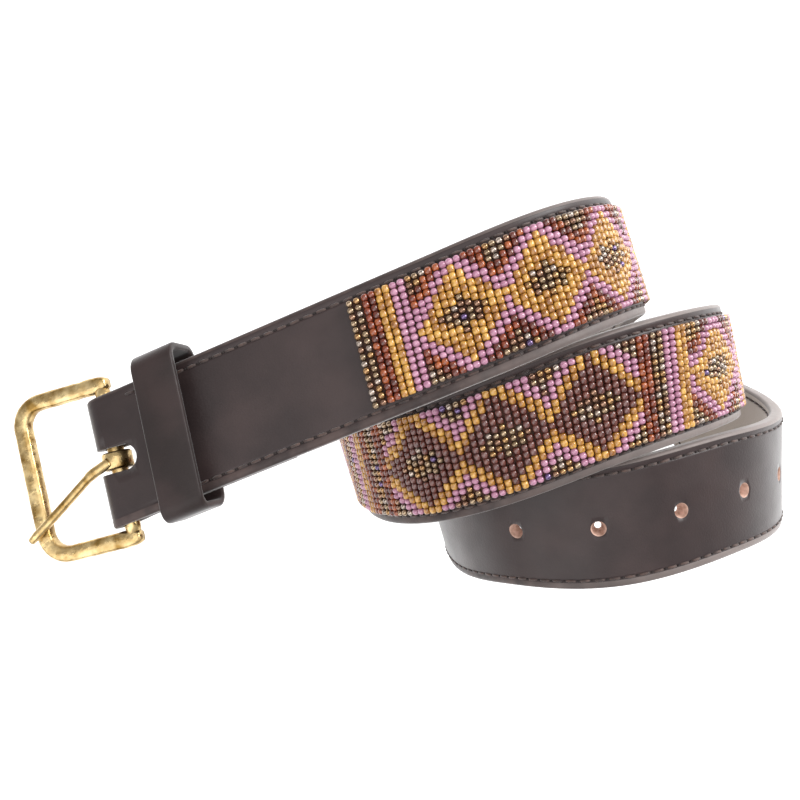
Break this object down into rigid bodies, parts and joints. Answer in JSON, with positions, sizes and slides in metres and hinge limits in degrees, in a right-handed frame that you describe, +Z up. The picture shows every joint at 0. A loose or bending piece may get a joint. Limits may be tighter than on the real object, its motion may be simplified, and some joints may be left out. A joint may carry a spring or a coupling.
{
  "type": "beaded leather belt",
  "caption": "Leather belt with a seed-bead panel, brass pin buckle and keeper, rolled up in a loose spiral and lying on its side.",
  "frame": {"origin": "middle of the underside of the whole rolled belt, on the surface it lies on", "axes": "+Z up; +Y along the roll's axis towards the turn that carries the buckle; the buckle's end points to -X"},
  "size_m": [0.2474, 0.1232, 0.1307],
  "materials": {
    "strap_leather": "smooth satin",
    "beads": "glossy opaque and lustred seed beads",
    "buckle_brass": "hand finished, scratched",
    "keeper_leather": "smooth satin"
  },
  "bodies": {
    "belt": {"strap": "strap_leather", "bead_panel": "beads", "keeper": "keeper_leather"},
    "frame": {"buckle_frame": "buckle_brass"},
    "pin": {"prong": "buckle_brass"}
  },
  "joints": [
    {"name": "frame_swing", "type": "hinge", "parent": "belt", "child": "frame", "pos_m": [-0.09159, 0.02608, 0.10523], "axis": [0.0379, 0.982, -0.185], "range_deg": [-70, 30]},
    {"name": "prong_swing", "type": "hinge", "parent": "frame", "child": "pin", "pos_m": [-0.09159, 0.02608, 0.10523], "axis": [0.0379, 0.982, -0.185], "range_deg": [0, 60]}
  ]
}
